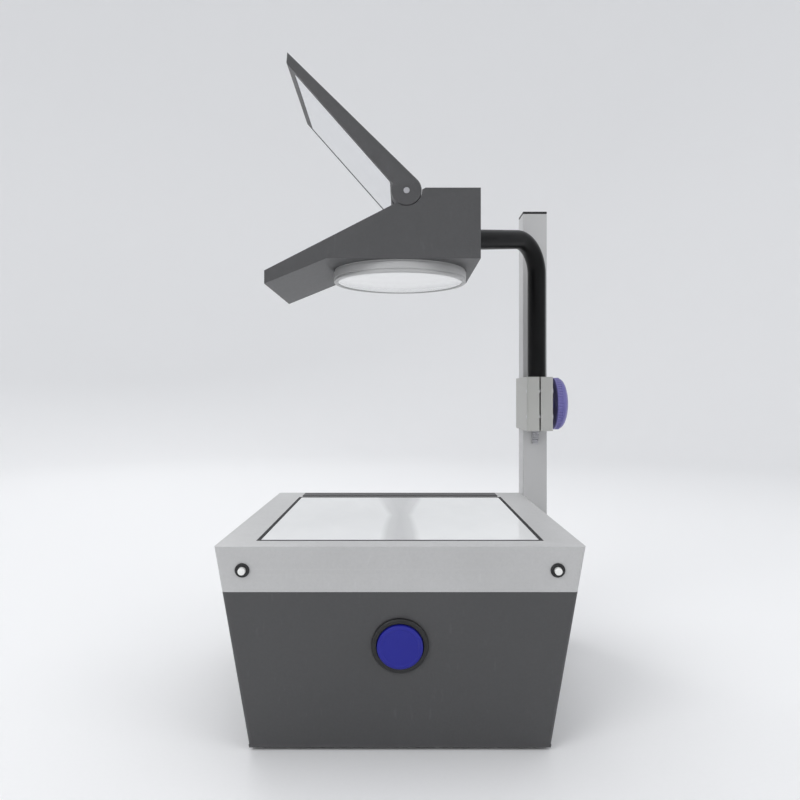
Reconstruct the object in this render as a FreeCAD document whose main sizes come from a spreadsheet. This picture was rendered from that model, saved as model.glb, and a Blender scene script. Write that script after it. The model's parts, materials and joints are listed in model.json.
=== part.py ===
"""Overhead projector: a tapered lamp housing with a hinged glass stage, a post with a rack and pinion
carriage, a swivelling arm and a projection head whose mirror flap tilts. Sizes are in millimetres.
X is right, Y is to the rear and Z is up. The origin is on the floor below the centre of the glass."""

import FreeCAD, Part
import math
import os

import Sketcher
from FreeCAD import Placement, Rotation, Vector

SIZES = {
    # Lamp housing and stage: one straight taper from the pan to the rim.
    "foot_height": 3, "pan_thick": 3, "bottom_half": 137.5, "taper": 0.1337, "centre_y": 7.5,
    "wall_thick": 3, "corner_reach": 128.5, "shell_top": 149.6, "rim_bottom": 150, "rim_top": 191,
    "plate_thick": 4, "aperture": 261, "glass_side": 254, "gasket_lip": 248, "ledge_low": 181,
    "foot_reach": 112, "foot_radius": 12,
    # Controls on the front.
    "button_height": 101, "button_radius": 20.5, "bezel_radius": 25.5, "catch_side": 138,
    "catch_height": 170, "catch_radius": 3.3,
    # Hinge of the stage.
    "hinge_back": 170.5, "hinge_height": 149.8, "hinge_side": 100, "knuckle_radius": 4.5,
    # Services inside and at the back.
    "fan_side": 80, "fan_radius": 36.4, "fan_x": 55, "fan_height": 70, "inlet_x": -75,
    "fuse_x": -115, "service_height": 45, "condenser_radius": 40, "condenser_height": 98,
    # Post and rack.
    "post_x": 180, "post_y": 172, "post_side": 32, "post_low": 30, "post_top": 565,
    "tooth_pitch": 3.14159265, "rack_width": 8, "rack_root": 153.6, "rack_tip": 151.35,
    # Carriage.
    "carriage_low": 278, "carriage_tall": 68, "socket_front": 101, "pinion_y": 145.35,
    "pinion_z": 312, "shaft_radius": 4, "knob_radius": 34, "knob_thick": 18.6,
    # Arm.
    "arm_x": 175.5, "arm_y": 123, "tube_radius": 11.5, "tube_bore": 9.5, "tube_low": 288,
    "bend_radius": 38, "arm_reach": 151, "arm_end": 498, "arm_slope": 9.39,
    # Head.
    "head_right": 80, "head_top": 528.5, "head_low": 458.5, "head_ridge": 25.5, "head_root": -73,
    "tip_x": -134.5, "tip_top": 446.5, "tip_low": 433.5, "head_width": 150, "cover_thick": 3,
    "barrel_radius": 72.3, "barrel_low": 445.5, "lens_radius": 69.2, "lens_bottom": 440.5,
    # Mirror flap, drawn at its raised angle.
    "flap_x": 6.5, "flap_z": 526.1, "flap_root": 15, "flap_pin": 3, "trough_gap": 0.5,
    "flap_upper_x": 16.99, "flap_upper_z": 536.82, "flap_lower_x": 2.00, "flap_lower_z": 522.13,
    "flap_tip_x": -111.8, "flap_tip_z": 662.8, "flap_lip_x": -112.6, "flap_lip_z": 651.9,
}


class Size:
    """A number together with the spreadsheet expression that drives it."""

    def __init__(self, value, text):
        self.value = value
        self.text = text

    def joined(self, mark, other, swap=False):
        one, two = (other, self) if swap else (self, other)
        values = [float(one), float(two)]
        result = {"+": values[0] + values[1], "-": values[0] - values[1], "*": values[0] * values[1]}[mark]
        return Size(result, "(%s %s %s)" % (written(one), mark, written(two)))

    def __float__(self):
        return float(self.value)

    def __add__(self, other):
        return self.joined("+", other)

    def __radd__(self, other):
        return self.joined("+", other, True)

    def __sub__(self, other):
        return self.joined("-", other)

    def __rsub__(self, other):
        return self.joined("-", other, True)

    def __mul__(self, other):
        return self.joined("*", other)

    def __rmul__(self, other):
        return self.joined("*", other, True)

    def __neg__(self):
        return self.joined("*", -1)


def written(value):
    """The text of a size or a plain number inside an expression."""
    return value.text if isinstance(value, Size) else "(%.6f)" % value


class Sizes:
    """The driving sizes by name, each one a cell of the spreadsheet."""

    def __init__(self, sheet):
        for row, (name, value) in enumerate(SIZES.items(), start=1):
            sheet.set("A%d" % row, name)
            sheet.set("B%d" % row, str(value))
            sheet.setAlias("B%d" % row, name)
            setattr(self, name, Size(value, "sizes." + name))


class Frame:
    """A local set of axes: an origin and a turn."""

    def __init__(self, origin=(0, 0, 0), turn=None):
        self.origin = origin
        self.turn = turn or Rotation()

    def at(self, x=0, y=0, z=0):
        """The row position of a local point."""
        columns = [self.turn.multVec(Vector(*axis)) for axis in ((1, 0, 0), (0, 1, 0), (0, 0, 1))]
        place = []
        for row in range(3):
            total = self.origin[row]
            for column, part in zip(columns, (x, y, z)):
                if abs(column[row]) > 1e-9 and (isinstance(part, Size) or part):
                    total = total + column[row] * part
            place.append(total)
        return tuple(place)

    def sub(self, x=0, y=0, z=0, turn=None):
        """A frame at a local point, turned about it."""
        return Frame(self.at(x, y, z), self.turn * (turn or Rotation()))


doc = FreeCAD.newDocument("projector")
sizes = doc.addObject("Spreadsheet::Sheet", "sizes")
s = Sizes(sizes)
doc.recompute()

FLOOR = Frame()
AXIS_TURN = {"x": Rotation(Vector(0, 1, 0), 90), "y": Rotation(Vector(1, 0, 0), -90), "z": Rotation()}
SIDES = {"front": 0, "right": 90, "rear": 180, "left": 270}
nodes = {}


def bind(thing, name, value):
    """Give a property its value, bound to the sheet where the value comes from it."""
    if isinstance(value, Size):
        thing.setExpression(name, value.text)
    else:
        setattr(thing, name, value)


def place(thing, at, turn=None):
    """Put an object at a position, keeping the bound coordinates bound."""
    thing.Placement = Placement(Vector(*[float(value) for value in at]), turn or Rotation())
    for axis, value in zip("xyz", at):
        if isinstance(value, Size):
            thing.setExpression("Placement.Base." + axis, value.text)
    return thing


def box(frame, wide, deep, tall, x=0, y=0, z=0):
    """A block centred on the local x and y, standing on the local z."""
    block = doc.addObject("Part::Box", "block")
    for name, value in (("Length", wide), ("Width", deep), ("Height", tall)):
        bind(block, name, value)
    return place(block, frame.at(x - 0.5 * wide, y - 0.5 * deep, z), frame.turn)


def span(low, high):
    """A block between two opposite corners given in row coordinates."""
    block = doc.addObject("Part::Box", "block")
    for name, one, two in zip(("Length", "Width", "Height"), low, high):
        bind(block, name, two - one)
    return place(block, low)


def rod(frame, radius, length, x=0, y=0, z=0, axis="z"):
    """A cylinder that starts at a local point and runs along a local axis."""
    bar = doc.addObject("Part::Cylinder", "bar")
    bind(bar, "Radius", radius)
    bind(bar, "Height", length)
    return place(bar, frame.at(x, y, z), frame.turn * AXIS_TURN[axis])


def cone(frame, low_radius, high_radius, length, x=0, y=0, z=0):
    """A cone frustum along the local z."""
    shape = doc.addObject("Part::Cone", "frustum")
    for name, value in (("Radius1", low_radius), ("Radius2", high_radius), ("Height", length)):
        bind(shape, name, value)
    return place(shape, frame.at(x, y, z), frame.turn)


def ball(frame, radius, x=0, y=0, z=0):
    """A full sphere."""
    shape = doc.addObject("Part::Sphere", "ball")
    bind(shape, "Radius", radius)
    return place(shape, frame.at(x, y, z), frame.turn)


def hoop(frame, radius, thick, x=0, y=0, z=0):
    """A torus around the local z."""
    shape = doc.addObject("Part::Torus", "hoop")
    bind(shape, "Radius1", radius)
    bind(shape, "Radius2", thick)
    return place(shape, frame.at(x, y, z), frame.turn)


def fuse(*shapes):
    """One solid from touching or overlapping shapes."""
    joined = doc.addObject("Part::MultiFuse", "joined")
    joined.Shapes = list(shapes)
    joined.Refine = True
    return joined


def cut(base, *tools):
    """The base without the tools."""
    carved = doc.addObject("Part::Cut", "carved")
    carved.Base = base
    carved.Tool = tools[0] if len(tools) == 1 else fuse(*tools)
    carved.Refine = True
    return carved


def common(one, two):
    """What two shapes share."""
    shared = doc.addObject("Part::Common", "shared")
    shared.Base = one
    shared.Tool = two
    return shared


def group(*shapes):
    """Separate solids kept together as one piece."""
    several = doc.addObject("Part::Compound", "several")
    several.Links = list(shapes)
    return several


def rounded(shape, radius, pick):
    """The shape with the picked edges rounded."""
    doc.recompute()
    chosen = [number for number, edge in enumerate(shape.Shape.Edges, start=1) if pick(edge)]
    if not chosen:
        raise RuntimeError("no edge to round on " + shape.Name)
    soft = doc.addObject("Part::Fillet", "soft")
    soft.Base = shape
    soft.Edges = [(number, radius, radius) for number in chosen]
    return soft


def node(name, shape):
    """Register a finished piece under its own name."""
    if name in nodes:
        raise RuntimeError("two pieces are called " + name)
    shape.Label = name
    nodes[name] = shape
    return shape


def half_at(height):
    """Half the width of the tapered housing at a height."""
    return s.bottom_half + (height - 4) * s.taper


def taper_block(low, high, inset=0):
    """A block with the taper of the housing between two heights, inset from its walls."""
    block = doc.addObject("Part::Wedge", "block")
    for mark, height in (("", low), ("2", high)):
        reach = half_at(height) - inset
        for axis in "XZ":
            bind(block, axis + mark + "min", -reach)
            bind(block, axis + mark + "max", reach)
    bind(block, "Ymin", low)
    bind(block, "Ymax", high)
    return place(block, (0, s.centre_y, 0), Rotation(Vector(1, 0, 0), 90))


def wall(side, along, height):
    """Axes on an outer wall: x along it, y up its slope, z outward."""
    angle = SIDES[side]
    about = Frame((0, s.centre_y, 0), Rotation(Vector(0, 0, 1), angle))
    lean = Rotation(Vector(1, 0, 0), 90 + math.degrees(math.atan(SIZES["taper"])))
    return about.sub(along, -half_at(height), height, lean)


def upright(edge):
    """True for an edge that climbs."""
    return abs(edge.Vertexes[0].Z - edge.Vertexes[-1].Z) > 5


def corners(reach):
    """The four corners of a square about the centre of the housing."""
    return [(x * reach, s.centre_y + y * reach) for x in (-1, 1) for y in (-1, 1)]


def plane_of(body, role):
    """A principal plane or axis of a body."""
    return [feature for feature in body.Origin.OriginFeatures if feature.Role == role][0]


def sketch_on(body, role, lift=None):
    """An empty sketch on a principal plane of the body, lifted along its normal where asked."""
    sketch = body.newObject("Sketcher::SketchObject", "sketch")
    sketch.AttachmentSupport = [(plane_of(body, role), "")]
    sketch.MapMode = "FlatFace"
    if lift is not None:
        sketch.AttachmentOffset = Placement(Vector(0, 0, float(lift)), Rotation())
        if isinstance(lift, Size):
            sketch.setExpression("AttachmentOffset.Base.z", lift.text)
    return sketch


def dimension(sketch, kind, *target):
    """Add one sketch dimension, bound to the sheet where its value comes from it."""
    value = target[-1]
    number = sketch.addConstraint(Sketcher.Constraint(kind, *target[:-1], float(value)))
    if isinstance(value, Size):
        sketch.setExpression("Constraints[%d]" % number, value.text)


def pin_point(sketch, curve, end, x, y):
    """Fix one end of a curve at a sketch position."""
    for kind, axis, value in (("DistanceX", -2, x), ("DistanceY", -1, y)):
        if abs(float(value)) < 1e-9:
            sketch.addConstraint(Sketcher.Constraint("PointOnObject", curve, end, axis))
        else:
            dimension(sketch, kind, -1, 1, curve, end, value)


def outline(sketch, points):
    """A closed polygon through bound points."""
    ends = [Vector(float(x), float(y), 0) for x, y in points]
    lines = [sketch.addGeometry(Part.LineSegment(one, two), False)
             for one, two in zip(ends, ends[1:] + ends[:1])]
    for number, line in enumerate(lines):
        sketch.addConstraint(Sketcher.Constraint("Coincident", lines[number - 1], 2, line, 1))
        pin_point(sketch, line, 1, *points[number])
    return sketch


def ring_sketch(sketch, *radii):
    """Circles about the sketch origin."""
    for radius in radii:
        curve = sketch.addGeometry(
            Part.Circle(Vector(0, 0, 0), Vector(0, 0, 1), float(radius)), False)
        sketch.addConstraint(Sketcher.Constraint("Coincident", curve, 3, -1, 1))
        dimension(sketch, "Radius", curve, radius)
    return sketch


def pad(body, sketch, length):
    """A pad grown equally to both sides of its sketch."""
    feature = body.newObject("PartDesign::Pad", "pad")
    feature.Profile = sketch
    feature.Midplane = True
    bind(feature, "Length", length)
    sketch.Visibility = False
    body.Tip = feature
    return feature


def prism(role, points, length, at=(0, 0, 0)):
    """A body with one polygon grown to both sides of a principal plane."""
    body = doc.addObject("PartDesign::Body", "body")
    pad(body, outline(sketch_on(body, role), points), length)
    return place(body, at)


def make_base():
    """The tapered housing, its pan, feet and screws."""
    pan_top = s.foot_height + s.pan_thick
    outer = rounded(taper_block(pan_top, s.shell_top), 4, upright)
    shell = cut(outer, taper_block(pan_top - 1, s.shell_top + 1, s.wall_thick))
    bosses = [rod(FLOOR, 7.5, 20, x, y, pan_top) for x, y in corners(s.corner_reach)]
    pilots = [rod(FLOOR, 1.9, 19, x, y, pan_top - 1) for x, y in corners(s.corner_reach)]
    inlet = wall("rear", s.inlet_x, s.service_height)
    windows = [
        rod(wall("front", 0, s.button_height), 22.3, 12, z=-8),
        box(wall("left", 0, 84), 150, 70, 12, z=-8),
        rod(wall("rear", s.fan_x, s.fan_height), 37.5, 12, z=-8),
        box(inlet, 28, 20.5, 12, z=-8),
        rod(wall("rear", s.fuse_x, s.service_height), 6.2, 12, z=-8),
    ]
    windows += [rod(FLOOR, 2.25, 40, 130, y, z, "x") for y in (110, 136) for z in (50, 124)]
    node("base_shell", cut(fuse(shell, *bosses), *pilots, *windows))

    pan = taper_block(s.foot_height, pan_top, 0.3)
    holes = [cone(FLOOR, 3.8, 1.9, s.pan_thick, x, y, s.foot_height) for x, y in corners(s.corner_reach)]
    holes += [rod(FLOOR, s.foot_radius + 0.05, 6, x, y, 1) for x, y in corners(s.foot_reach)]
    slots = [box(FLOOR, 5, 70, 6, x, -60, 1) for x in range(-54, 55, 12)]
    node("base_pan", cut(pan, *holes, *slots))
    node("rubber_feet", group(*[
        fuse(cone(FLOOR, s.foot_radius - 1.2, s.foot_radius, s.foot_height, x, y),
             rod(FLOOR, s.foot_radius, s.pan_thick, x, y, s.foot_height),
             rod(FLOOR, s.foot_radius + 2.5, 2, x, y, pan_top))
        for x, y in corners(s.foot_reach)]))
    node("pan_screws", group(*[
        fuse(cone(FLOOR, 3.6, 1.85, 2.6, x, y, s.foot_height + 0.1),
             rod(FLOOR, 1.85, 17, x, y, s.foot_height + 1))
        for x, y in corners(s.corner_reach)]))


def make_vents():
    """The side grille, and the fan with its guard, frame and rotor."""
    side = wall("left", 0, 84)
    panel = fuse(box(side, 149.6, 69.6, 3, z=-3), box(side, 158, 78, 1.6))
    slits = [box(side, 64, 3.6, 8, x, y, -5) for x in (-35, 35) for y in range(-28, 29, 8)]
    node("left_vent_grille", cut(panel, *slits))

    fan = wall("rear", s.fan_x, s.fan_height)
    rings = [hoop(fan, radius, 1.2, z=1.3) for radius in (39.5, 30, 20.5, 11)]
    spokes = [box(fan.sub(turn=Rotation(Vector(0, 0, 1), angle)), 80, 2.2, 2.2, z=0.2)
              for angle in (30, 90, 150)]
    node("rear_fan_guard", fuse(*rings, *spokes))

    frame = cut(box(fan, s.fan_side, s.fan_side, 25, z=-28), rod(fan, s.fan_radius + 1.1, 27, z=-29))
    arms = [box(fan.sub(turn=Rotation(Vector(0, 0, 1), angle)), 79, 5, 3.5, z=-28)
            for angle in (45, 135)]
    mount = fuse(frame, rod(fan, 15.5, 3.5, z=-28), *arms)
    holes = [rod(fan, 2.2, 27, x, y, -29) for x in (-36, 36) for y in (-36, 36)]
    node("fan_housing", cut(mount, rod(fan, 2.56, 6, z=-29), *holes))

    hub = rod(fan, 15, 17, z=-24)
    blades = []
    for number in range(7):
        about = fan.sub(z=-15.5, turn=Rotation(Vector(0, 0, 1), number * 360 / 7))
        blades.append(box(about.sub(24.5, turn=Rotation(Vector(1, 0, 0), 38)), 22, 1.6, 16, z=-8))
    rotor = common(fuse(hub, *blades), rod(fan, s.fan_radius, 30, z=-30))
    node("fan_rotor", fuse(rotor, rod(fan, 2.5, 5, z=-28.4)))


def make_electrics():
    """The transformer, terminal block, inlet with its pins, and the fuse holder."""
    floor = Frame((92, 45, s.foot_height + s.pan_thick))
    core = cut(box(floor, 72, 36, 60), *[box(floor, 12, 40, 36, x, 0, 12) for x in (-18, 18)])
    node("transformer_core", core)
    node("transformer_coil", cut(box(floor, 47.6, 58, 35, z=12.5), box(floor, 24.1, 36.1, 40, z=10)))

    strip = Frame((86, -45, s.foot_height + s.pan_thick))
    wells = [rod(strip, 3, 8, x, 0, 8) for x in (-20, -10, 0, 10, 20)]
    node("terminal_block", cut(box(strip, 58, 18, 14), *wells))

    inlet = wall("rear", s.inlet_x, s.service_height)
    shell = fuse(box(inlet, 40, 27, 2.4), box(inlet, 27.6, 20.2, 22, z=-22))
    node("power_inlet", cut(shell, box(inlet, 24, 16.6, 20, z=-15)))
    node("inlet_pins", group(*[box(inlet, 2, 4, 9.5, x, y, -15) for x, y in ((-7, -2), (0, 3), (7, -2))]))

    fuse_at = wall("rear", s.fuse_x, s.service_height)
    cap = cut(cone(fuse_at, 8.5, 7.5, 8), box(fuse_at, 10, 1.6, 4, z=6))
    node("fuse_holder", fuse(cap, rod(fuse_at, 6, 30, z=-30)))


def make_lamp():
    """The lamp on its bracket, with the reflector below and the condenser above it."""
    pan_top = s.foot_height + s.pan_thick
    deck = Frame((0, 0, pan_top))
    node("lamp_bracket", fuse(box(deck, 76, 96, 2, y=8), box(deck, 60, 2, 66, y=55)))
    node("lamp_socket", cut(box(deck, 26, 16, 20, y=46, z=44),
                            *[rod(deck, 1.05, 10, x, 37, 54, "y") for x in (-3.2, 3.2)]))
    bulb = fuse(rod(deck, 6.5, 30, y=6, z=54, axis="y"), ball(deck, 6.5, y=6, z=54))
    pins = [rod(deck, 1, 8, x, 35, 54, "y") for x in (-3.2, 3.2)]
    node("lamp", fuse(bulb, *pins))
    dish = cut(common(ball(deck, 40, z=46), box(deck, 90, 90, 26, z=6)), ball(deck, 38, z=46))
    node("lamp_reflector", fuse(cut(dish, rod(deck, 3, 4, z=0)), rod(deck, 8, 5.2, z=2)))

    top = s.condenser_height
    plate = cut(box(FLOOR, 110, 100, 2, z=top), rod(FLOOR, s.condenser_radius - 3, 6, z=top - 2))
    legs = [box(FLOOR, 2, 100, top - pan_top, x, 0, pan_top) for x in (-54, 54)]
    node("condenser_holder", fuse(plate, *legs))
    lens = common(rod(FLOOR, s.condenser_radius, 22, z=top + 2), ball(FLOOR, 58, z=top + 19 - 58))
    node("condenser_lens", lens)


def make_power_button():
    """The round push button on the front, its bezel and the switch behind it."""
    front = wall("front", 0, s.button_height)
    ring = fuse(rod(front, s.bezel_radius, 3), rod(front, 22.2, 13, z=-13))
    node("power_button_bezel", cut(ring, rod(front, s.button_radius + 0.35, 20, z=-14)))
    face = common(rod(front, s.button_radius, 10.5, z=-4), ball(front, 160, z=6.5 - 160))
    node("power_button", fuse(face, rod(front, 5, 13, z=-16)))
    case = fuse(rod(front, 22.2, 2, z=-15), box(front, 26, 20, 20, z=-35))
    node("switch_body", cut(case, rod(front, 5.5, 8.2, z=-21)))


def make_stage():
    """The lifting frame with its glass, seal, fresnel lens, clips and catches."""
    outer = rounded(taper_block(s.rim_bottom, s.rim_top), 4, upright)
    plate_low = s.rim_top - s.plate_thick
    ledge_top = s.ledge_low + 2.5
    skirt = cut(outer, taper_block(s.rim_bottom - 1, plate_low, s.wall_thick))
    frame = fuse(skirt, box(FLOOR, 272, 272, plate_low - s.ledge_low, z=s.ledge_low))
    tools = [box(FLOOR, s.aperture, s.aperture, 12, z=ledge_top),
             box(FLOOR, s.gasket_lip - 2, s.gasket_lip - 2, 12, z=s.ledge_low - 4)]
    catches = [wall("front", side * s.catch_side, s.catch_height) for side in (-1, 1)]
    tools += [rod(catch, 4.6, 12, z=-8) for catch in catches]
    node("stage_frame", cut(frame, *tools))

    seal_top = s.rim_top + 0.2
    seal = cut(box(FLOOR, s.aperture - 0.2, s.aperture - 0.2, seal_top - ledge_top, z=ledge_top),
               box(FLOOR, s.glass_side + 0.2, s.glass_side + 0.2, 12, z=ledge_top + 2),
               box(FLOOR, s.gasket_lip, s.gasket_lip, 12, z=ledge_top - 4))
    node("glass_gasket", seal)
    node("stage_glass", box(FLOOR, s.glass_side, s.glass_side, s.rim_top - ledge_top - 2, z=ledge_top + 2))
    node("fresnel_lens", box(FLOOR, 268, 268, 3, z=s.ledge_low - 3))
    clips = []
    for angle in (0, 90, 180, 270):
        side = Frame((0, 0, s.ledge_low), Rotation(Vector(0, 0, 1), angle))
        clips.append(fuse(box(side, 24, 10, 2, 0, 134, -5), box(side, 24, 3, 11, 0, 137.6, -5)))
    node("fresnel_clips", group(*clips))
    node("hinge_cover", box(FLOOR, s.glass_side, 26, 1.2, 0, 148, s.rim_top))

    rings = []
    for name, catch in zip(("left", "right"), catches):
        ring = fuse(rod(catch, 6.4, 1.6), rod(catch, 4.5, 7, z=-7))
        rings.append(cut(ring, rod(catch, s.catch_radius + 0.3, 12, z=-8)))
        node("catch_button_" + name, rod(catch, s.catch_radius, 14.5, z=-10))
    node("catch_bezels", group(*rings))


def make_stage_hinge():
    """Two leaf hinges behind the housing: outer knuckles on the base, inner ones on the stage."""
    solid_base = taper_block(s.foot_height, s.rim_bottom)
    solid_stage = taper_block(s.rim_bottom - 1, s.rim_top)
    base_leaves, stage_leaves, pins = [], [], []
    for side in (-1, 1):
        line = Frame((side * s.hinge_side, s.hinge_back, s.hinge_height))
        bore = rod(line, 2.02, 52, -26, axis="x")
        for x in (-16.75, 16.75):
            leaf = fuse(rod(line, s.knuckle_radius, 16.5, x - 8.25, axis="x"),
                        box(line, 16.5, 14, 16, x, -5.5, -16.3))
            base_leaves.append(cut(leaf, solid_base, bore, box(line, 20, 12, 6, x, -10.6, -0.3)))
        leaf = fuse(rod(line, s.knuckle_radius, 16, -8, axis="x"), box(line, 16, 14, 14, 0, -4.6, 0.4))
        stage_leaves.append(cut(leaf, solid_stage, rod(line, 2.06, 52, -26, axis="x")))
        pins.append(rod(line, 2, 51, -25.5, axis="x"))
    node("base_hinge_leaves", group(*base_leaves))
    node("stage_hinge_leaves", group(*stage_leaves))
    node("stage_hinge_pins", group(*pins))


def make_post():
    """The square post beside the rear corner, closed at its foot, and its brackets, screws, cap and rack."""
    middle = Frame((s.post_x, s.post_y, 0))
    tall = s.post_top - s.post_low
    node("post", cut(box(middle, s.post_side, s.post_side, tall, z=s.post_low),
                     box(middle, s.post_side - 6, s.post_side - 6, tall, z=s.post_low + 3)))
    node("post_cap", fuse(box(middle, s.post_side, s.post_side, 3, z=s.post_top),
                          box(middle, s.post_side - 6.2, s.post_side - 6.2, 8.5, z=s.post_top - 8)))
    solid_base = taper_block(s.foot_height, s.rim_bottom)
    brackets = []
    for low, high, side in ((38, 62, 141), (112, 136, 150)):
        shape = fuse(span((side, 98, low), (160, 158, high)), span((150, 150, low), (201, 193, high)))
        post_hole = box(middle, s.post_side, s.post_side, 40, z=low - 5)
        screw_holes = [rod(FLOOR, 2.25, 40, 130, y, (low + high) / 2, "x") for y in (110, 136)]
        brackets.append(cut(shape, solid_base, post_hole, *screw_holes))
    node("post_brackets", group(*brackets))
    node("bracket_screws", group(*[
        fuse(rod(FLOOR, 2.2, 27, 134, y, z, "x"), rod(FLOOR, 4.2, 3, 160, y, z, "x"))
        for y in (110, 136) for z in (50, 124)]))

    below, teeth = 17, 54
    first = s.pinion_z + (0.5 - below) * s.tooth_pitch
    last = first + (teeth - 1) * s.tooth_pitch
    post_front = s.post_y - 0.5 * s.post_side
    body = doc.addObject("PartDesign::Body", "body")
    strip = [(s.rack_root, first - 2), (post_front, first - 2), (post_front, last + 2), (s.rack_root, last + 2)]
    pad(body, outline(sketch_on(body, "YZ_Plane"), strip), s.rack_width)
    root = s.rack_root + 0.2
    tooth = [(root, first + 1.2), (s.rack_tip, first + 0.38), (s.rack_tip, first - 0.38), (root, first - 1.2)]
    one = pad(body, outline(sketch_on(body, "YZ_Plane"), tooth), s.rack_width)
    row = body.newObject("PartDesign::LinearPattern", "row")
    row.Originals = [one]
    row.Direction = (plane_of(body, "Z_Axis"), [""])
    bind(row, "Length", (teeth - 1) * s.tooth_pitch)
    row.Occurrences = teeth
    body.Tip = row
    node("focus_rack", place(body, (s.post_x, 0, 0)))


def make_carriage():
    """The sliding carriage: a sleeve round the post with a split socket for the arm in front."""
    low, tall = s.carriage_low, s.carriage_tall
    arm = Frame((s.arm_x, s.arm_y, low))
    middle = Frame((s.post_x, s.post_y, low))
    shaft = Frame((s.post_x, s.pinion_y, s.pinion_z))
    socket = rounded(box(arm, 33, 52, tall, y=4), 3,
                     lambda edge: upright(edge) and edge.Vertexes[0].Y < SIZES["socket_front"] + 2)
    sleeve = rounded(box(middle, 39, 47, tall, y=-4), 3,
                     lambda edge: upright(edge) and edge.Vertexes[0].Y > SIZES["post_y"])
    clamp_holes = [rod(arm, 2.6, 44, -22, -17, z, "x") for z in (18, 50)]
    clamp_holes += [rod(arm, 4.7, 5, 12.5, -17, z, "x") for z in (18, 50)]
    tools = [
        box(middle, 34.6, 34.6, tall + 4, z=-2),
        box(middle, 11, 8, tall + 4, y=-18, z=-2),
        rod(shaft, 8.9, 11, -5.5, axis="x"),
        rod(shaft, s.shaft_radius + 0.06, 40, -13, axis="x"),
        rod(arm, s.tube_radius + 0.06, tall, z=8),
        box(arm, 2, 12, tall + 4, y=-17, z=-2),
    ]
    node("carriage_housing", cut(fuse(socket, sleeve), *tools, *clamp_holes))
    screws = [fuse(rod(arm, 2.5, 29, -16.4, -17, z, "x"),
                   cut(rod(arm, 4.5, 4, 12.5, -17, z, "x"), rod(arm, 2, 3, 14.5, -17, z, "x")))
              for z in (18, 50)]
    node("clamp_screws", group(*screws))
    pads = []
    for z in (4, tall - 16):
        pads += [box(middle, 1, 18, 12, side * 16.8, 0, z) for side in (-1, 1)]
        pads.append(box(middle, 18, 1, 12, 0, 16.8, z))
    node("glide_pads", group(*pads))
    node("thrust_washer", cut(rod(arm, 11.3, 1.4, z=8), rod(arm, 5, 4, z=7)))

    knob = Frame(shaft.at(20.2), Rotation(Vector(0, 1, 0), 90))
    body = rod(knob, s.knob_radius, s.knob_thick)
    dome = ball(knob, 62.8, z=s.knob_thick - 62.8)
    grips = []
    for number in range(30):
        about = knob.sub(turn=Rotation(Vector(0, 0, 1), number * 12))
        grips.append(rod(about, 1.3, 14, s.knob_radius + 0.5, 0, -1))
    node("focus_knob", cut(common(body, dome), *grips, rod(knob, s.shaft_radius + 0.02, 9, z=-1)))
    node("pinion_shaft", rod(shaft, s.shaft_radius, 40.2, -12, axis="x"))

    body = doc.addObject("PartDesign::Body", "body")
    pad(body, ring_sketch(sketch_on(body, "YZ_Plane"), 5.7, s.shaft_radius + 0.02), 10)
    tooth = [(5.2, -1.0), (7, -0.64), (7.9, -0.28), (7.9, 0.28), (7, 0.64), (5.2, 1.0)]
    one = pad(body, outline(sketch_on(body, "YZ_Plane"), tooth), 10)
    wheel = body.newObject("PartDesign::PolarPattern", "wheel")
    wheel.Originals = [one]
    wheel.Axis = (plane_of(body, "X_Axis"), [""])
    wheel.Angle = 360
    wheel.Occurrences = 14
    body.Tip = wheel
    node("pinion", place(body, shaft.at()))


def arm_end_bar(radius, start, length):
    """A cylinder on the line of the arm's far run, from a plan distance along it."""
    turn = Rotation(Vector(0, 0, 1), 225) * Rotation(Vector(0, 1, 0), 90 + SIZES["arm_slope"])
    plan = start / math.sqrt(2)
    drop = (SIZES["arm_reach"] - start) * math.tan(math.radians(SIZES["arm_slope"]))
    return rod(Frame((s.arm_x - plan, s.arm_y - plan, s.arm_end + drop), turn), radius, length)


def make_arm():
    """The bent tube: up out of the carriage, one bend, and a sloping run to the head."""
    slope = math.radians(SIZES["arm_slope"])
    radius, reach, end = SIZES["bend_radius"], SIZES["arm_reach"], SIZES["arm_end"]
    apex = end + reach * math.tan(slope)
    tangent = radius * math.tan((math.pi / 2 + slope) / 2)
    low = apex - tangent
    body = doc.addObject("PartDesign::Body", "body")
    path = sketch_on(body, "XZ_Plane")
    rise = path.addGeometry(Part.LineSegment(Vector(0, SIZES["tube_low"], 0), Vector(0, low, 0)), False)
    bend = path.addGeometry(Part.ArcOfCircle(Part.Circle(Vector(radius, low, 0), Vector(0, 0, 1), radius),
                                             math.pi / 2 - slope, math.pi), False)
    start = Vector(math.cos(slope) * tangent, apex - math.sin(slope) * tangent, 0)
    run = path.addGeometry(Part.LineSegment(start, Vector(reach, end, 0)), False)
    path.addConstraint(Sketcher.Constraint("Tangent", rise, 2, bend, 2))
    path.addConstraint(Sketcher.Constraint("Tangent", bend, 1, run, 1))
    path.addConstraint(Sketcher.Constraint("Vertical", rise))
    pin_point(path, rise, 1, 0, s.tube_low)
    pin_point(path, run, 2, s.arm_reach, s.arm_end)
    dimension(path, "Radius", bend, s.bend_radius)
    dimension(path, "DistanceY", -1, 1, rise, 2, low)
    ends = ring_sketch(sketch_on(body, "XY_Plane", s.tube_low), s.tube_radius, s.tube_bore)
    pipe = body.newObject("PartDesign::AdditivePipe", "pipe")
    pipe.Profile = ends
    pipe.Spine = (path, ["Edge1", "Edge2", "Edge3"])
    body.Tip = pipe
    node("arm_tube", place(body, (s.arm_x, s.arm_y, 0), Rotation(Vector(0, 0, 1), 225)))


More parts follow.
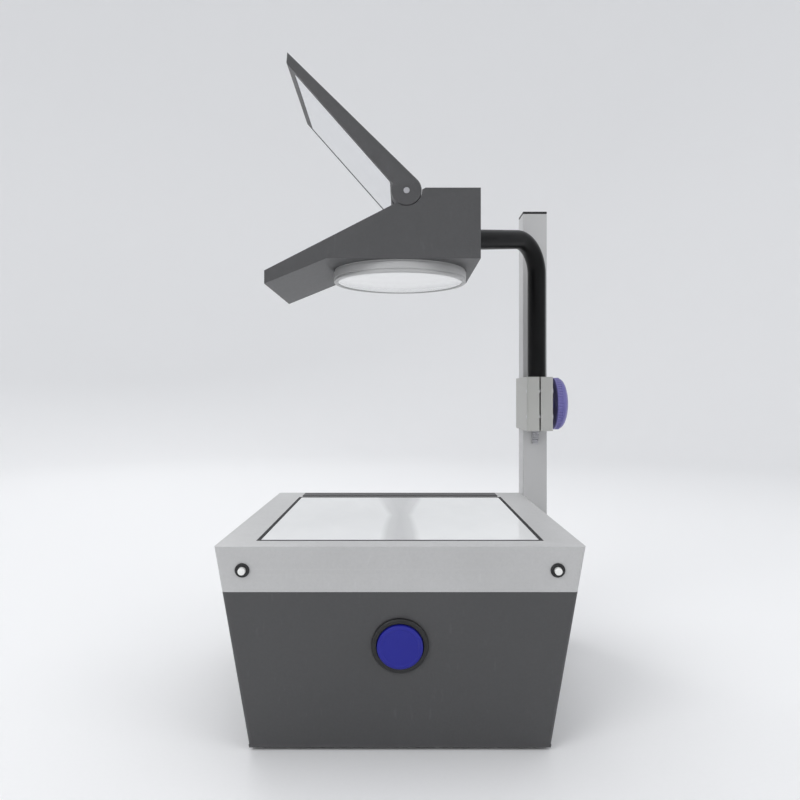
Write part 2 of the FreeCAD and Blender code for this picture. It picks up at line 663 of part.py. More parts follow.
def slope_frame(along):
    """Axes on the head's sloping top: x down the slope, z outward, from a distance below the ridge."""
    run = Vector(SIZES["tip_x"] - SIZES["head_ridge"], 0, SIZES["tip_top"] - SIZES["head_top"])
    down = run.normalize()
    out = Vector(down.z, 0, -down.x)
    turn = Rotation(down, out.cross(down), out, "ZXY")
    return Frame((s.head_ridge, 0, s.head_top), turn).sub(along)


def inset(points, gap):
    """A polygon drawn inside another one, its edges moved inward by a gap."""
    ring = [Vector(float(x), float(y), 0) for x, y in points]
    turning = sum(one.x * two.y - two.x * one.y for one, two in zip(ring, ring[1:] + ring[:1]))
    shift = gap if turning > 0 else -gap
    moved = []
    for before, here, after in zip(ring[-1:] + ring[:-1], ring, ring[1:] + ring[:1]):
        first, second = (here - before).normalize(), (after - here).normalize()
        bisector = Vector(-first.y - second.y, first.x + second.x, 0)
        depth = 1 + first.dot(second)
        moved.append((here.x + bisector.x * shift / depth, here.y + bisector.y * shift / depth))
    return moved


def make_head():
    """The wedge-shaped head with its side covers, lenses, window and hinge ears."""
    profile = [(s.head_right, s.head_low), (s.head_right, s.head_top), (s.head_ridge, s.head_top),
               (s.tip_x, s.tip_top), (s.tip_x, s.tip_low), (s.head_root, s.head_low)]
    inner_width = s.head_width - 2 * s.cover_thick
    inner = prism("XZ_Plane", inset(profile, SIZES["wall_thick"]), inner_width + 2)
    body = cut(prism("XZ_Plane", profile, inner_width), inner)

    pivot = Frame((s.flap_x, 0, s.flap_z))
    hollow = s.flap_root + s.trough_gap
    trough_wall = common(rod(pivot, hollow + s.wall_thick, inner_width, y=-0.5 * inner_width, axis="y"),
                         prism("XZ_Plane", profile, inner_width))
    trough = rod(pivot, hollow, 160, y=-80, axis="y")
    ears = []
    for y in (-50, 50):
        ears += [rod(pivot, 9, 15, y=y - 7.5, axis="y"), box(slope_frame(18), 18, 15, 16.5, 0, y, -10)]
    window = slope_frame(100)
    tools = [
        box(window, 128, 122, 8, z=-5),
        rod(FLOOR, 66, 10, z=s.head_low - 4),
        arm_end_bar(s.tube_radius + 0.05, 110, 60),
        rod(pivot, s.flap_pin + 0.02, 160, y=-80, axis="y"),
    ]
    node("head_housing", cut(fuse(cut(fuse(body, trough_wall), trough), *ears), *tools))
    for name, side in (("front", -1), ("rear", 1)):
        middle = side * 0.5 * (s.head_width - s.cover_thick)
        plate = prism("XZ_Plane", profile, s.cover_thick, (0, middle, 0))
        node("head_cover_" + name, cut(plate, rod(pivot, hollow, 160, y=-80, axis="y")))
    node("window_glass", box(slope_frame(101.2), 133.2, 130, 2, z=-5.1))
    node("arm_socket", cut(span((50, -6, 477), (s.head_right - 3, 50, 521)),
                           arm_end_bar(s.tube_radius + 0.05, 90, 62.2)))
    node("mirror_hinge_pin", rod(pivot, s.flap_pin, 149, y=-74.5, axis="y"))

    barrel = fuse(rod(FLOOR, s.barrel_radius, s.head_low - s.barrel_low, z=s.barrel_low),
                  rod(FLOOR, 65.8, 10, z=s.head_low - 1))
    node("lens_barrel", cut(barrel, rod(FLOOR, s.lens_radius + 0.2, 9.2, z=s.barrel_low - 0.2),
                            rod(FLOOR, 62, 30, z=s.barrel_low - 1)))
    lower = common(rod(FLOOR, s.lens_radius, 13.9, z=s.lens_bottom), ball(FLOOR, 402, z=s.lens_bottom + 402))
    node("lower_lens", lower)
    ring = cut(rod(FLOOR, s.lens_radius + 0.2, 1, z=s.barrel_low), rod(FLOOR, 68, 8, z=s.barrel_low - 2))
    node("lens_retainer", cut(ring, lower))
    node("upper_lens", common(rod(FLOOR, 61.8, 14, z=s.head_low + 1),
                              ball(FLOOR, 242.7, z=s.head_low + 13 - 242.7)))


def make_flap():
    """The tilting mirror flap, drawn raised, with notches for the two ears."""
    sheet_line = Vector(SIZES["flap_lip_x"] - SIZES["flap_lower_x"], 0,
                        SIZES["flap_lip_z"] - SIZES["flap_lower_z"]).normalize()
    out = Vector(-sheet_line.z, 0, sheet_line.x)
    turn = Rotation(sheet_line, out.cross(sheet_line), out, "ZXY")
    face = Frame((s.flap_lower_x, 0, s.flap_lower_z), turn)
    pivot = Frame((s.flap_x, 0, s.flap_z))
    profile = [(s.flap_upper_x, s.flap_upper_z), (s.flap_tip_x, s.flap_tip_z),
               (s.flap_lip_x, s.flap_lip_z), (s.flap_lower_x, s.flap_lower_z)]
    blade = prism("XZ_Plane", profile, s.head_width)
    root = rod(pivot, s.flap_root, s.head_width, y=-0.5 * s.head_width, axis="y")
    tools = [rod(pivot, 16.6, 16, y=y - 8, axis="y") for y in (-50, 50)]
    tools += [rod(pivot, s.flap_pin + 0.06, 160, y=-80, axis="y"),
              box(face, 144, 136, 6, 90, 0, -3), box(face, 110, 124, 8, 80, 0, -8)]
    node("mirror_flap", cut(fuse(blade, root), *tools))
    node("mirror_glass", box(face, 143.6, 135.6, 2.9, 90, 0, -3))


for make in (make_base, make_vents, make_electrics, make_lamp, make_power_button, make_stage,
             make_stage_hinge, make_post, make_carriage, make_arm, make_head, make_flap):
    make()
doc.recompute()

for thing in doc.Objects:
    if {"Invalid", "Error"} & set(thing.State):
        raise RuntimeError("%s (%s) did not build: %s" % (thing.Name, thing.Label, thing.State))
os.makedirs("parts", exist_ok=True)
for name, thing in nodes.items():
    if thing.Shape.isNull() or not thing.Shape.isValid():
        raise RuntimeError(name + " has no valid shape")
    thing.Shape.exportStep("parts/%s.step" % name)
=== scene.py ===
"""An overhead projector as a finished studio model.

The moving frame comes packed. Each visible part of it gets either a finished copy with soft edges
or a new surface worked out from a formula, and every part gets a procedural finish. Lengths are
metres. X is right, Y is to the rear and Z is up, with the origin on the floor below the stage
glass."""

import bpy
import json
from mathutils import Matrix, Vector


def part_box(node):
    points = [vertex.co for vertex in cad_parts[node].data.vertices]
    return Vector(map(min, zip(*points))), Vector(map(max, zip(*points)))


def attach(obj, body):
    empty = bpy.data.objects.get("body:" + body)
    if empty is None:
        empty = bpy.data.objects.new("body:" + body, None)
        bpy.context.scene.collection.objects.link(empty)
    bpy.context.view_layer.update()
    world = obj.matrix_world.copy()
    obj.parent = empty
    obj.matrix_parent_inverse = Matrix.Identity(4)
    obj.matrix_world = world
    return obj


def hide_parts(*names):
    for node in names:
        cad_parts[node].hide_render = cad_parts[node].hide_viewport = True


bl_info = {
    "name": "Overhead Projector",
    "version": (1, 0, 0),
    "blender": (4, 5, 0),
    "location": "3D View > Sidebar > Projector",
    "description": "Builds the finished pieces, finishes and studio of an overhead projector",
    "category": "Object",
}

import json
import math

import bmesh
import bpy
import numpy as np
from bpy.props import FloatProperty, FloatVectorProperty, IntProperty, PointerProperty
from bpy.types import Operator, Panel, PropertyGroup
from mathutils import Vector

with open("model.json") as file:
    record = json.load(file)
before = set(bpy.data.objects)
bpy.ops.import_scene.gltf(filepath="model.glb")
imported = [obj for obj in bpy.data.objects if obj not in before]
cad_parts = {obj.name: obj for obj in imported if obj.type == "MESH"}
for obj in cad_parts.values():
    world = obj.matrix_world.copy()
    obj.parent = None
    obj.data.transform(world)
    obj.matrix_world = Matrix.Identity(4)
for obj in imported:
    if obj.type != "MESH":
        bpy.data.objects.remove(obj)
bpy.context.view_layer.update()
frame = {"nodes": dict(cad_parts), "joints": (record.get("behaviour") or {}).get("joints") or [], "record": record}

MM = 0.001
SHARP_TURN = 32  # degrees: an edge that turns by more is rounded, and is not shaded across
FLAT_TURN = 0.6  # degrees: packed faces that turn by less are joined
WIDE_WALL = 45 * (10 * MM) ** 2  # outer walls above this area get borders
SAME_POINT, SAME_PACKED_POINT = 1e-7, 1e-6  # points nearer than this are merged
BUTTON_HEIGHT, CATCH_HEIGHT, CATCH_SIDE = 0.101, 0.170, 0.138  # above the floor, and sideways
LIGHTS = (  # name, place, diameter, and power as a share of the key light's
    ("key", (-1.9, -2.2, 2.2), 1.8, 1.0), ("fill", (2.4, -1.7, 1.9), 1.8, 0.45),
    ("top", (0.1, 0.3, 2.7), 1.8, 0.4), ("back", (-1.3, 2.4, 2.0), 1.4, 0.45))

BODY_OF = {node: body for body, members in frame["record"]["behaviour"]["bodies"].items()
           for node in members}
SLOT_OF = {part["node"]: part["material_slot"] for part in frame["record"]["subparts"]}
JOINT = {joint["name"]: joint for joint in frame["joints"]}
INWARD = np.array(JOINT["power_press"]["axis"])
LEAN = INWARD[2] / INWARD[1]
RIM_LOW, RIM_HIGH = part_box("stage_frame")


# ---------------------------------------------------------------- settings


def colour_setting(name, description, value):
    """A colour that the user can change."""
    return FloatVectorProperty(name=name, description=description, subtype="COLOR",
                               size=3, min=0, max=1, default=value)


def length_setting(name, description, value):
    """A length that the user can change."""
    return FloatProperty(name=name, description=description, default=value, min=0,
                         unit="LENGTH", subtype="DISTANCE", precision=4)


class ProjectorColours(PropertyGroup):
    """Colours of the finishes."""

    housing: colour_setting("Housing", "Lamp housing, head and flap", (0.056, 0.056, 0.058))
    rim: colour_setting("Rim", "Lifting frame round the glass", (0.45, 0.45, 0.45))
    post: colour_setting("Post", "Square post at the rear corner", (0.50, 0.50, 0.50))
    carriage: colour_setting("Carriage", "Casting that slides on the post", (0.42, 0.42, 0.40))
    barrel: colour_setting("Barrel", "Ring that holds the lens", (0.34, 0.34, 0.34))
    knob: colour_setting("Knob", "Focus knob", (0.125, 0.112, 0.36))
    button: colour_setting("Button", "Push button on the front", (0.010, 0.012, 0.25))
    black: colour_setting("Black", "Tube, seals and small black parts", (0.008, 0.008, 0.009))
    glass: colour_setting("Glass", "Stage glass and lenses", (0.95, 0.96, 0.96))


class ProjectorSizes(PropertyGroup):
    """Sizes of the details that are worked out here."""

    soft_edge: length_setting("Soft edge", "Radius of the edges of the large mouldings", 1.4 * MM)
    small_edge: length_setting("Small edge", "Radius of the edges of small parts", 0.35 * MM)
    ring_pitch: length_setting("Ring pitch", "Distance between the flat lens's rings", 4.2 * MM)
    ring_depth: length_setting("Ring depth", "Depth of the flat lens's rings", 0.5 * MM)
    knob_ridges: IntProperty(name="Knob ridges", description="Grip ridges round the focus knob",
                             default=54, min=12, max=120)


class ProjectorStudio(PropertyGroup):
    """The camera, the floor and the lights."""

    distance: length_setting("Camera distance", "From the camera to the rim's front edge", 0.584)
    eye_height: length_setting("Eye height", "Height of the camera above the floor", 0.323)
    lens: FloatProperty(name="Lens", description="Focal length of the camera in millimetres",
                        default=30.2, min=10, max=200)
    lift: FloatProperty(name="Lift", description="Vertical shift of the frame",
                        default=-0.006, precision=4)
    floor: colour_setting("Floor", "Paper sweep under and behind the object", (0.88, 0.88, 0.885))
    key: FloatProperty(name="Key light", description="Power of the main light in watts",
                       default=29, min=0)


# ---------------------------------------------------------------- finishes


class Value:
    """A shader socket that takes part in arithmetic. Each operation adds one Math node."""

    def __init__(self, paint, socket):
        self.paint = paint
        self.socket = socket

    def maths(self, operation, one, two):
        return self.paint.node("ShaderNodeMath", {"operation": operation}, {0: one, 1: two})

    def __add__(self, other):
        return self.maths("ADD", self, other)

    __radd__ = __add__

    def __sub__(self, other):
        return self.maths("SUBTRACT", self, other)

    def __rsub__(self, other):
        return self.maths("SUBTRACT", other, self)

    def __mul__(self, other):
        return self.maths("MULTIPLY", self, other)

    __rmul__ = __mul__


class Paint:
    """One procedural material, built on Object coordinates."""

    def __init__(self, name):
        self.material = bpy.data.materials.new(name)
        self.material.use_nodes = True
        self.tree = self.material.node_tree
        self.tree.nodes.clear()
        self.output = self.tree.nodes.new("ShaderNodeOutputMaterial")
        self.place = self.node("ShaderNodeTexCoord", output="Object")

    def node(self, kind, settings=None, inputs=None, output=0):
        """Add a node: its settings first, then the values or links of its sockets."""
        made = self.tree.nodes.new(kind)
        for key, value in (settings or {}).items():
            if key == "stops":
                self.set_stops(made.color_ramp, value)
            else:
                setattr(made, key, value)
        for key, value in (inputs or {}).items():
            if isinstance(value, Value):
                self.tree.links.new(value.socket, made.inputs[key])
            else:
                made.inputs[key].default_value = value
        return Value(self, made.outputs[output])

    @staticmethod
    def set_stops(ramp, stops):
        """Give a colour ramp its stops as (position, grey) pairs."""
        while len(ramp.elements) < len(stops):
            ramp.elements.new(0.5)
        for element, (position, grey) in zip(ramp.elements, stops):
            element.position = position
            element.color = (grey, grey, grey, 1)

    def noise(self, scale, detail, stretch=(1, 1, 1)):
        """Soft noise from 0 to 1 with a number of features for each metre."""
        spot = self.node("ShaderNodeMapping", {}, {"Vector": self.place, "Scale": stretch})
        inputs = {"Vector": spot, "Scale": scale, "Detail": detail}
        return self.node("ShaderNodeTexNoise", {}, inputs)

    def cells(self, scale):
        """Distance to the nearest of many scattered points."""
        return self.node("ShaderNodeTexVoronoi", {}, {"Vector": self.place, "Scale": scale})

    def ramp(self, value, *stops):
        """A value passed through a grey ramp."""
        return self.node("ShaderNodeValToRGB", {"stops": stops}, {"Fac": value})

    def blend(self, amount, one, two):
        """A colour between two others."""
        one, two = (value if isinstance(value, Value) else (*value, 1) for value in (one, two))
        return self.node("ShaderNodeMix", {"data_type": "RGBA"}, {0: amount, 6: one, 7: two}, 2)

    def bump(self, height, distance, strength):
        """A normal tilted by a height field; the distance is in metres."""
        inputs = {"Height": height, "Distance": distance, "Strength": strength}
        return self.node("ShaderNodeBump", {}, inputs)

    def edges(self, low, high):
        """A mask of convex edges, from the curvature of the mesh."""
        point = self.node("ShaderNodeNewGeometry", output="Pointiness")
        return self.ramp(point, (low, 0), (high, 1))

    def finish(self, **sockets):
        """Join the sockets to one Principled shader; an underscore in a name stands for a space."""
        inputs = {key.replace("_", " "): value for key, value in sockets.items()}
        shader = self.node("ShaderNodeBsdfPrincipled", {}, inputs)
        self.tree.links.new(shader.socket, self.output.inputs["Surface"])
        return self.material


def scaled(colour, factor):
    """A colour made darker or lighter."""
    return tuple(min(1.0, channel * factor) for channel in colour)


def moulded(name, colour, roughness=0.5, pebble=0.00022, pebble_scale=420, wear=0.3, scuffs=0.12):
    """Textured plastic: pebbles with fine cells on them, a faint cloudiness, edges rubbed a little
    lighter, and a few upright scuffs."""
    paint = Paint(name)
    cloud = paint.noise(11, 3)
    stones = paint.noise(pebble_scale, 2)
    cell = paint.cells(1400)
    rubbed = paint.edges(0.52, 0.60) * paint.noise(90, 4) * wear
    scuff = paint.ramp(paint.noise(210, 5, (1, 1, 0.2)), (0.64, 0), (0.74, 1)) * scuffs
    base = paint.blend(cloud, scaled(colour, 0.92), scaled(colour, 1.08))
    base = paint.blend(stones * 0.35, base, scaled(colour, 0.72))
    base = paint.blend(scuff + rubbed, base, scaled(colour, 2.0))
    rough = roughness - 0.08 + cloud * 0.05 + stones * 0.1 - scuff * 0.3
    relief = paint.bump(stones + cell * 0.25, pebble, 0.8)
    return paint.finish(Base_Color=base, Roughness=rough, Normal=relief)


def polished_plastic(name, colour, roughness=0.25, coat=0.3, shine=0.5):
    """Smooth plastic under a thin clear coat: a slow ripple from the mould, and wipe marks."""
    paint = Paint(name)
    cloud = paint.noise(40, 2)
    wipes = paint.noise(220, 4, (1, 1, 0.15))
    base = paint.blend(cloud, scaled(colour, 0.94), scaled(colour, 1.08))
    return paint.finish(Base_Color=base, Roughness=roughness - 0.05 + wipes * 0.14,
                        Normal=paint.bump(cloud, 0.0002, 0.3), Specular_IOR_Level=shine,
                        Coat_Weight=coat, Coat_Roughness=0.15)


def powder_coat(name, colour, roughness=0.42, wear=0.3, shine=0.5):
    """Baked powder paint: an orange-peel ripple, and grey where the edges are rubbed."""
    paint = Paint(name)
    peel = paint.noise(900, 2)
    cloud = paint.noise(14, 3)
    rubbed = paint.edges(0.54, 0.64) * paint.noise(120, 5) * wear
    base = paint.blend(cloud, scaled(colour, 0.94), scaled(colour, 1.06))
    base = paint.blend(rubbed, base, (0.4, 0.4, 0.4))
    return paint.finish(Base_Color=base, Roughness=roughness - 0.05 + peel * 0.1,
                        Specular_IOR_Level=shine, Normal=paint.bump(peel, 0.00012, 0.6))


def rubber(name, colour):
    """Matt rubber with a fine powdery grain."""
    paint = Paint(name)
    grain = paint.noise(1800, 3)
    dusty = paint.noise(60, 4)
    base = paint.blend(dusty, colour, scaled(colour, 2.2))
    return paint.finish(Base_Color=base, Roughness=0.72 + grain * 0.15,
                        Normal=paint.bump(grain, 0.00008, 0.6))


def metal(name, colour, roughness=0.3, brushed=(1, 1, 1), scale=700):
    """Bare metal: fine streaks in one direction change its gloss."""
    paint = Paint(name)
    streak = paint.noise(scale, 3, brushed)
    tarnish = paint.noise(35, 4)
    base = paint.blend(tarnish, scaled(colour, 0.86), scaled(colour, 1.08))
    return paint.finish(Base_Color=base, Metallic=1.0, Roughness=roughness - 0.08 + streak * 0.2,
                        Normal=paint.bump(streak, 0.00005, 0.5))


def clear_glass(name, colour):
    """Thin glass: mostly see-through, with faint smears in its polish."""
    paint = Paint(name)
    smear = paint.noise(30, 5, (1, 0.4, 1))
    base = paint.blend(smear, colour, scaled(colour, 1.08))
    return paint.finish(Base_Color=base, Roughness=0.02 + smear * 0.05, Alpha=0.2 + smear * 0.06,
                        Coat_Weight=0.5, Coat_Roughness=0.02)


def lens_glass(name, colour):
    """Coated lens glass that looks milky white against the light."""
    paint = Paint(name)
    smear = paint.noise(55, 3)
    base = paint.blend(smear, colour, scaled(colour, 1.1))
    return paint.finish(Base_Color=base, Roughness=0.05 + smear * 0.04, Alpha=0.9,
                        Coat_Weight=1.0, Coat_Roughness=0.02)


def flat_lens(name, colour):
    """Milky ringed plastic."""
    paint = Paint(name)
    haze = paint.noise(18, 2)
    base = paint.blend(haze, scaled(colour, 0.95), scaled(colour, 1.02))
    return paint.finish(Base_Color=base, Roughness=0.38 + haze * 0.08)


def stage_plate_with_painted_shade(name, colour):
    """The stage glass, painted milky white for the light from below. A painted grey hourglass on it is the shade
    that the condenser throws, with its waist at the middle. At a distance d behind the waist its half width is
    waist + growth * d, and in front of it waist + swell * d - curve * d^2."""
    waist, growth, swell, curve = 0.0110, 0.125, 0.075, 0.3
    paint = Paint(name)
    split = paint.node("ShaderNodeSeparateXYZ", {}, {"Vector": paint.place})
    along = Value(paint, split.socket.node.outputs["Y"])
    across = paint.node("ShaderNodeMath", {"operation": "ABSOLUTE"}, {0: split})
    behind = paint.node("ShaderNodeMath", {"operation": "MAXIMUM"}, {0: along, 1: 0.0})
    ahead = paint.node("ShaderNodeMath", {"operation": "MAXIMUM"}, {0: 0.0 - along, 1: 0.0})
    half = waist + behind * growth + ahead * swell - ahead * ahead * curve
    # Painted shade: a grey hourglass, darker in its middle, stands for the shade the condenser throws on the
    # glass.
    painted_shade_hourglass = paint.ramp(0.5 + (half - across) * 90, (0.2, 0), (0.8, 1))
    painted_shade_hourglass_middle = paint.ramp(0.5 + (half * 0.62 - across) * 60, (0.1, 0), (0.9, 1))
    smear = paint.noise(30, 5, (1, 0.4, 1))
    base = paint.blend(smear, scaled(colour, 0.98), scaled(colour, 1.03))
    base = paint.blend(painted_shade_hourglass * 0.6 + painted_shade_hourglass_middle * 0.32, base, scaled(colour, 0.55))
    return paint.finish(Base_Color=base, Roughness=0.05 + smear * 0.06, Alpha=0.9 + smear * 0.05,
                        Coat_Weight=0.6, Coat_Roughness=0.03)


def silvered(name):
    """Front-silvered mirror with a slightly hazy polish."""
    paint = Paint(name)
    haze = paint.noise(45, 4)
    base = paint.blend(haze, (0.86, 0.87, 0.89), (0.93, 0.94, 0.95))
    return paint.finish(Base_Color=base, Metallic=1.0, Roughness=0.015 + haze * 0.03)


def winding(name):
    """Enamelled copper wire laid side by side: close bands up the coil."""
    paint = Paint(name)
    bands = paint.node("ShaderNodeTexWave", {"bands_direction": "Z"},
                       {"Vector": paint.place, "Scale": 260.0, "Distortion": 0.4})
    base = paint.blend(bands, (0.20, 0.06, 0.02), (0.62, 0.24, 0.09))
    return paint.finish(Base_Color=base, Metallic=0.8, Roughness=0.3,
                        Normal=paint.bump(bands, 0.0003, 0.9))


def laminations(name):
    """Stacked sheet steel: fine dark lines between the sheets."""
    paint = Paint(name)
    sheets = paint.node("ShaderNodeTexWave", {"bands_direction": "Y"},
                        {"Vector": paint.place, "Scale": 420.0, "Distortion": 0.2})
    base = paint.blend(sheets, (0.05, 0.05, 0.055), (0.22, 0.22, 0.23))
    return paint.finish(Base_Color=base, Metallic=0.7, Roughness=0.45,
                        Normal=paint.bump(sheets, 0.0002, 0.7))


def make_finishes(colours):
    """Every finish by its slot, and three more for single parts: lens, stage_plate_with_painted_shade, laminations."""
    return {
        "housing_grey": moulded("housing_grey", scaled(colours.housing, 1.1), 0.5),
        "rim_grey": moulded("rim_grey", scaled(colours.rim, 1.1), 0.46, wear=0.12, scuffs=0.05),
        "black_plastic": moulded("black_plastic", colours.black, 0.45, 0.0001, 900, wear=0.5),
        "black_rubber": rubber("black_rubber", colours.black),
        # Painted light: the barrel's grey is raised by 1.3, lighter than its own, to make up for the head's shade
        # over it.
        "lens_grey": moulded("lens_grey", scaled(colours.barrel, 1.3), 0.4, 0.00008, 1100,
                             wear=0.1, scuffs=0.04),
        "catch_white": polished_plastic("catch_white", (0.82, 0.82, 0.80)),
        "button_blue": polished_plastic("button_blue", colours.button, 0.32, 0.0, 0.35),
        "knob_blue": polished_plastic("knob_blue", colours.knob, 0.36),
        "carriage_grey": powder_coat("carriage_grey", colours.carriage, 0.46),
        "post_grey": powder_coat("post_grey", colours.post, 0.4, 0.15),
        "black_metal": powder_coat("black_metal", scaled(colours.black, 0.25), 0.32, 0.08, 0.16),
        "bare_steel": metal("bare_steel", (0.55, 0.55, 0.57), 0.3, (1, 1, 0.05)),
        "cast_alloy": metal("cast_alloy", (0.5, 0.5, 0.5), 0.5, scale=300),
        "brass": metal("brass", (0.75, 0.53, 0.22), 0.28),
        "copper": winding("copper"),
        "ceramic": polished_plastic("ceramic", (0.78, 0.75, 0.68), 0.3),
        "reflector": metal("reflector", (0.85, 0.85, 0.87), 0.14, scale=120),
        "clear_glass": clear_glass("clear_glass", colours.glass),
        "fresnel_plastic": flat_lens("fresnel_plastic", colours.glass),
        "mirror": silvered("mirror"),
        "lens": lens_glass("lens", colours.glass),
        "stage_plate_with_painted_shade": stage_plate_with_painted_shade("stage_plate_with_painted_shade", colours.glass),
        "laminations": laminations("laminations"),
    }


FINISHES = {}  # filled by the first building step


# ---------------------------------------------------------------- shapes


def settle(name, node, mesh, finish=None, replaced=True):
    """Make a mesh a piece: painted, riding on its node's body, and in its node's place or added."""
    piece = bpy.data.objects.new(name, mesh)
    bpy.context.scene.collection.objects.link(piece)
    mesh.materials.clear()
    mesh.materials.append(FINISHES[finish or SLOT_OF[node]])
    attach(piece, BODY_OF[node])
    if replaced:
        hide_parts(node)
    return piece


def unit(vectors):
    """Vectors scaled to a length of 1."""
    return vectors / np.linalg.norm(vectors, axis=-1, keepdims=True)


def mark_sharp(work, degrees=SHARP_TURN):
    """Shade everything smooth except across edges that turn by more than an angle."""
    for face in work.faces:
        face.smooth = True
    for edge in work.edges:
        edge.smooth = len(edge.link_faces) == 2 and edge.calc_face_angle(0) < math.radians(degrees)


def solid_mesh(name, vertices, faces, degrees=SHARP_TURN):
    """A mesh from points and faces. Doubled points at poles and seams are merged, and the faces are
    turned outwards."""
    mesh = bpy.data.meshes.new(name)
    mesh.from_pydata(vertices, [], faces)
    work = bmesh.new()
    work.from_mesh(mesh)
    bmesh.ops.remove_doubles(work, verts=work.verts, dist=SAME_POINT)
    bmesh.ops.recalc_face_normals(work, faces=work.faces)
    mark_sharp(work, degrees)
    work.to_mesh(mesh)
    work.free()
    return mesh


def surface_mesh(name, *grids):
    """One mesh from grids of points. Each grid has rows of points; neighbouring rows and
    neighbouring points span four-sided faces, and each row is closed on itself."""
    vertices, faces, start = [], [], 0
    for grid in grids:
        rows, columns = grid.shape[:2]
        index = start + np.arange(rows * columns).reshape(rows, columns)
        ahead = np.roll(index, -1, axis=1)
        quads = np.stack([index[:-1], ahead[:-1], ahead[1:], index[1:]], axis=-1)
        vertices.append(grid.reshape(-1, 3))
        faces.append(quads.reshape(-1, 4))
        start += rows * columns
    return solid_mesh(name, np.concatenate(vertices), np.concatenate(faces))


def shaped(name, node, *grids, finish=None, replaced=True):
    """A piece made from grids of points."""
    settle(name, node, surface_mesh(name, *grids), finish, replaced)


def facing(direction):
    """A turn, as three columns, that carries the z axis to a direction."""
    out = unit(np.array(direction, float))
    hint = np.array((0, 0, 1.0)) if abs(out[2]) < 0.9 else np.array((0, 1.0, 0))
    side = unit(np.cross(hint, out))
    return np.stack([side, np.cross(out, side), out], axis=1)


def rounded(corners, radii, steps=6, closed=False):
    """A polyline whose corners are arcs. Where the edges meet at an angle a, the arc touches both
    at radius / tan(a / 2) from the corner. A radius of 0 keeps a corner sharp."""
    corners = [np.array(corner, float) for corner in corners]
    count = len(corners)
    line = []
    for number, (corner, radius) in enumerate(zip(corners, radii)):
        ends = not closed and number in (0, count - 1)
        if radius == 0 or ends:
            line.append(corner)
            continue
        back = unit(corners[number - 1] - corner)
        ahead = unit(corners[(number + 1) % count] - corner)
        half = math.acos(np.clip(back @ ahead, -1, 1)) / 2
        middle = corner + unit(back + ahead) * radius / math.sin(half)
        one = corner + back * radius / math.tan(half) - middle
        two = corner + ahead * radius / math.tan(half) - middle
        share = np.linspace(0, 1, steps + 1)[:, None]
        sweep = math.acos(np.clip(one @ two / radius ** 2, -1, 1))
        arc = (one * np.sin((1 - share) * sweep) + two * np.sin(share * sweep)) / math.sin(sweep)
        line.extend(middle + arc)
    if closed:
        line.append(line[0])
    return np.array(line)


def rounded_mm(corners, radii, steps=6, closed=False):
    """A rounded line in metres from corners, often (radius, height) pairs, and radii in
    millimetres."""
    return rounded(np.array(corners) * MM, np.array(radii) * MM, steps, closed)


def turned(profile, centre, direction=(0, 0, 1), segments=96, ripple=None):
    """A surface of revolution: each (radius, height) of the profile swept round an axis through the
    centre. A ripple(angle, radius, height) is added to the radius."""
    angle = np.linspace(0, 2 * np.pi, segments, endpoint=False)[None, :]
    radius, height = profile[:, :1], profile[:, 1:]
    reach = radius + (ripple(angle, radius, height) if ripple else 0)
    local = np.stack([reach * np.cos(angle), reach * np.sin(angle), height + 0 * angle], axis=-1)
    return local @ facing(direction).T + np.array(centre)


def capped(rows):
    """Rows of points with one more row at each end, drawn together in the middle of that end."""
    first, last = (np.broadcast_to(row.mean(0), (1, *row.shape)) for row in (rows[0], rows[-1]))
    return np.concatenate([first, rows, last])


def swept(line, side, radius, segments):
    """A round tube: a circle carried along a line. The side, at right angles to the line, is where
    the circle starts: one vector, or one for each point."""
    across = np.broadcast_to(side, line.shape)
    up = np.cross(unit(np.gradient(line, axis=0)), across)
    angle = np.linspace(0, 2 * np.pi, segments, endpoint=False)[None, :, None]
    ring = np.cos(angle) * across[:, None] + np.sin(angle) * up[:, None]
    return capped(line[:, None] + ring * radius)


def bordered(work, width):
    """Give every wide outer wall two narrow borders, so that rubbed edges don't reach across it.
    Faces in one plane, with the same normal and the same distance along it, share their borders.
    The right wall has none, because its screw holes are too near its edge."""
    walls = {}
    for face in work.faces:
        distance = face.normal @ face.verts[0].co
        if distance > 0 and face.normal.x < 0.5 and face.calc_area() > WIDE_WALL:
            plane = (*face.normal, distance)
            walls.setdefault(tuple(round(value, 3) for value in plane), []).append(face)
    for wall in walls.values():
        for share in (0.65, 0.35):
            bmesh.ops.inset_region(work, faces=wall, thickness=width * share, use_boundary=True,
                                   use_even_offset=True)


def softened(node, width, segments=3, finish=None, border=0.0):
    """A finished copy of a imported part. Its triangles are joined into whole faces, its wide walls
    get their borders, and faces with more than four sides are split again. Then every sharp edge
    becomes an arc of the given width, and the shading of the level faces is kept level."""
    work = bmesh.new()
    work.from_mesh(frame["nodes"][node].data)
    bmesh.ops.remove_doubles(work, verts=work.verts, dist=SAME_PACKED_POINT)
    bmesh.ops.dissolve_limit(work, angle_limit=math.radians(FLAT_TURN), verts=work.verts,
                             edges=work.edges, delimit={"NORMAL"})
    if border > 0:
        bordered(work, border)
    bmesh.ops.triangulate(work, faces=[face for face in work.faces if len(face.verts) > 4])
    mark_sharp(work)
    mesh = bpy.data.meshes.new(node + "_finished")
    work.to_mesh(mesh)
    work.free()
    piece = settle(mesh.name, node, mesh, finish)
    if width > 0:
        bevel = piece.modifiers.new("soft edges", "BEVEL")
        bevel.width = width
        bevel.segments = segments
        bevel.limit_method = "ANGLE"
        bevel.angle_limit = math.radians(SHARP_TURN)
        bevel.miter_outer = "MITER_ARC"
        level = piece.modifiers.new("level faces", "WEIGHTED_NORMAL")
        level.weight = 80
        level.keep_sharp = True


def on_front(height, side=0.0):
    """The point of the sloping front wall at a height and a distance from the middle line."""
    return np.array((side, RIM_LOW.y + (RIM_HIGH.z - height) * LEAN, height))


